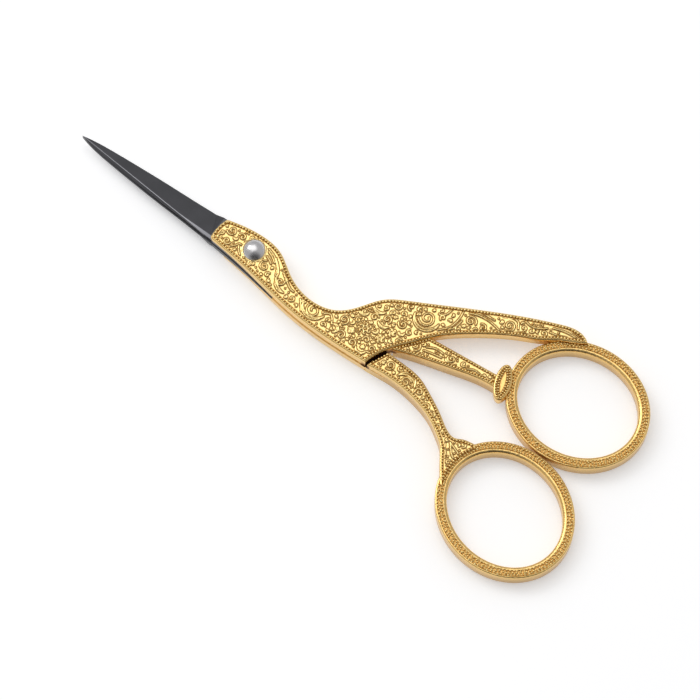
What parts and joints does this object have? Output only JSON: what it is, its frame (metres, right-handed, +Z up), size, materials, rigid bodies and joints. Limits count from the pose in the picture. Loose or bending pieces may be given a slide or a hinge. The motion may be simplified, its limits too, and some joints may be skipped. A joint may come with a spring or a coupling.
{
  "type": "stork embroidery scissors",
  "caption": "Small stork embroidery scissors: gilt cast bird handles with oval finger rings, slim dark steel blades as the beak, and a domed pivot stud.",
  "frame": {"origin": "on the pivot axis, at the plane that the scissors lie on", "axes": "+X along the closed blades towards the points, +Z up along the pivot axis through the domed stud, +Y towards the under half's finger ring"},
  "size_m": [0.1153, 0.0463, 0.0057],
  "materials": {
    "blade_steel": "satin",
    "gilt": "satin",
    "pivot_steel": "polished"
  },
  "bodies": {
    "under_half": {"under_handle": "gilt", "under_blade": "blade_steel", "pivot_stud": "pivot_steel", "pivot_screw": "pivot_steel"},
    "upper_half": {"upper_handle": "gilt", "upper_blade": "blade_steel"}
  },
  "joints": [
    {"name": "opening", "type": "hinge", "parent": "under_half", "child": "upper_half", "pos_m": [0, 0, 0.0022], "axis": [0, 0, 1], "range_deg": [0, 50]}
  ]
}
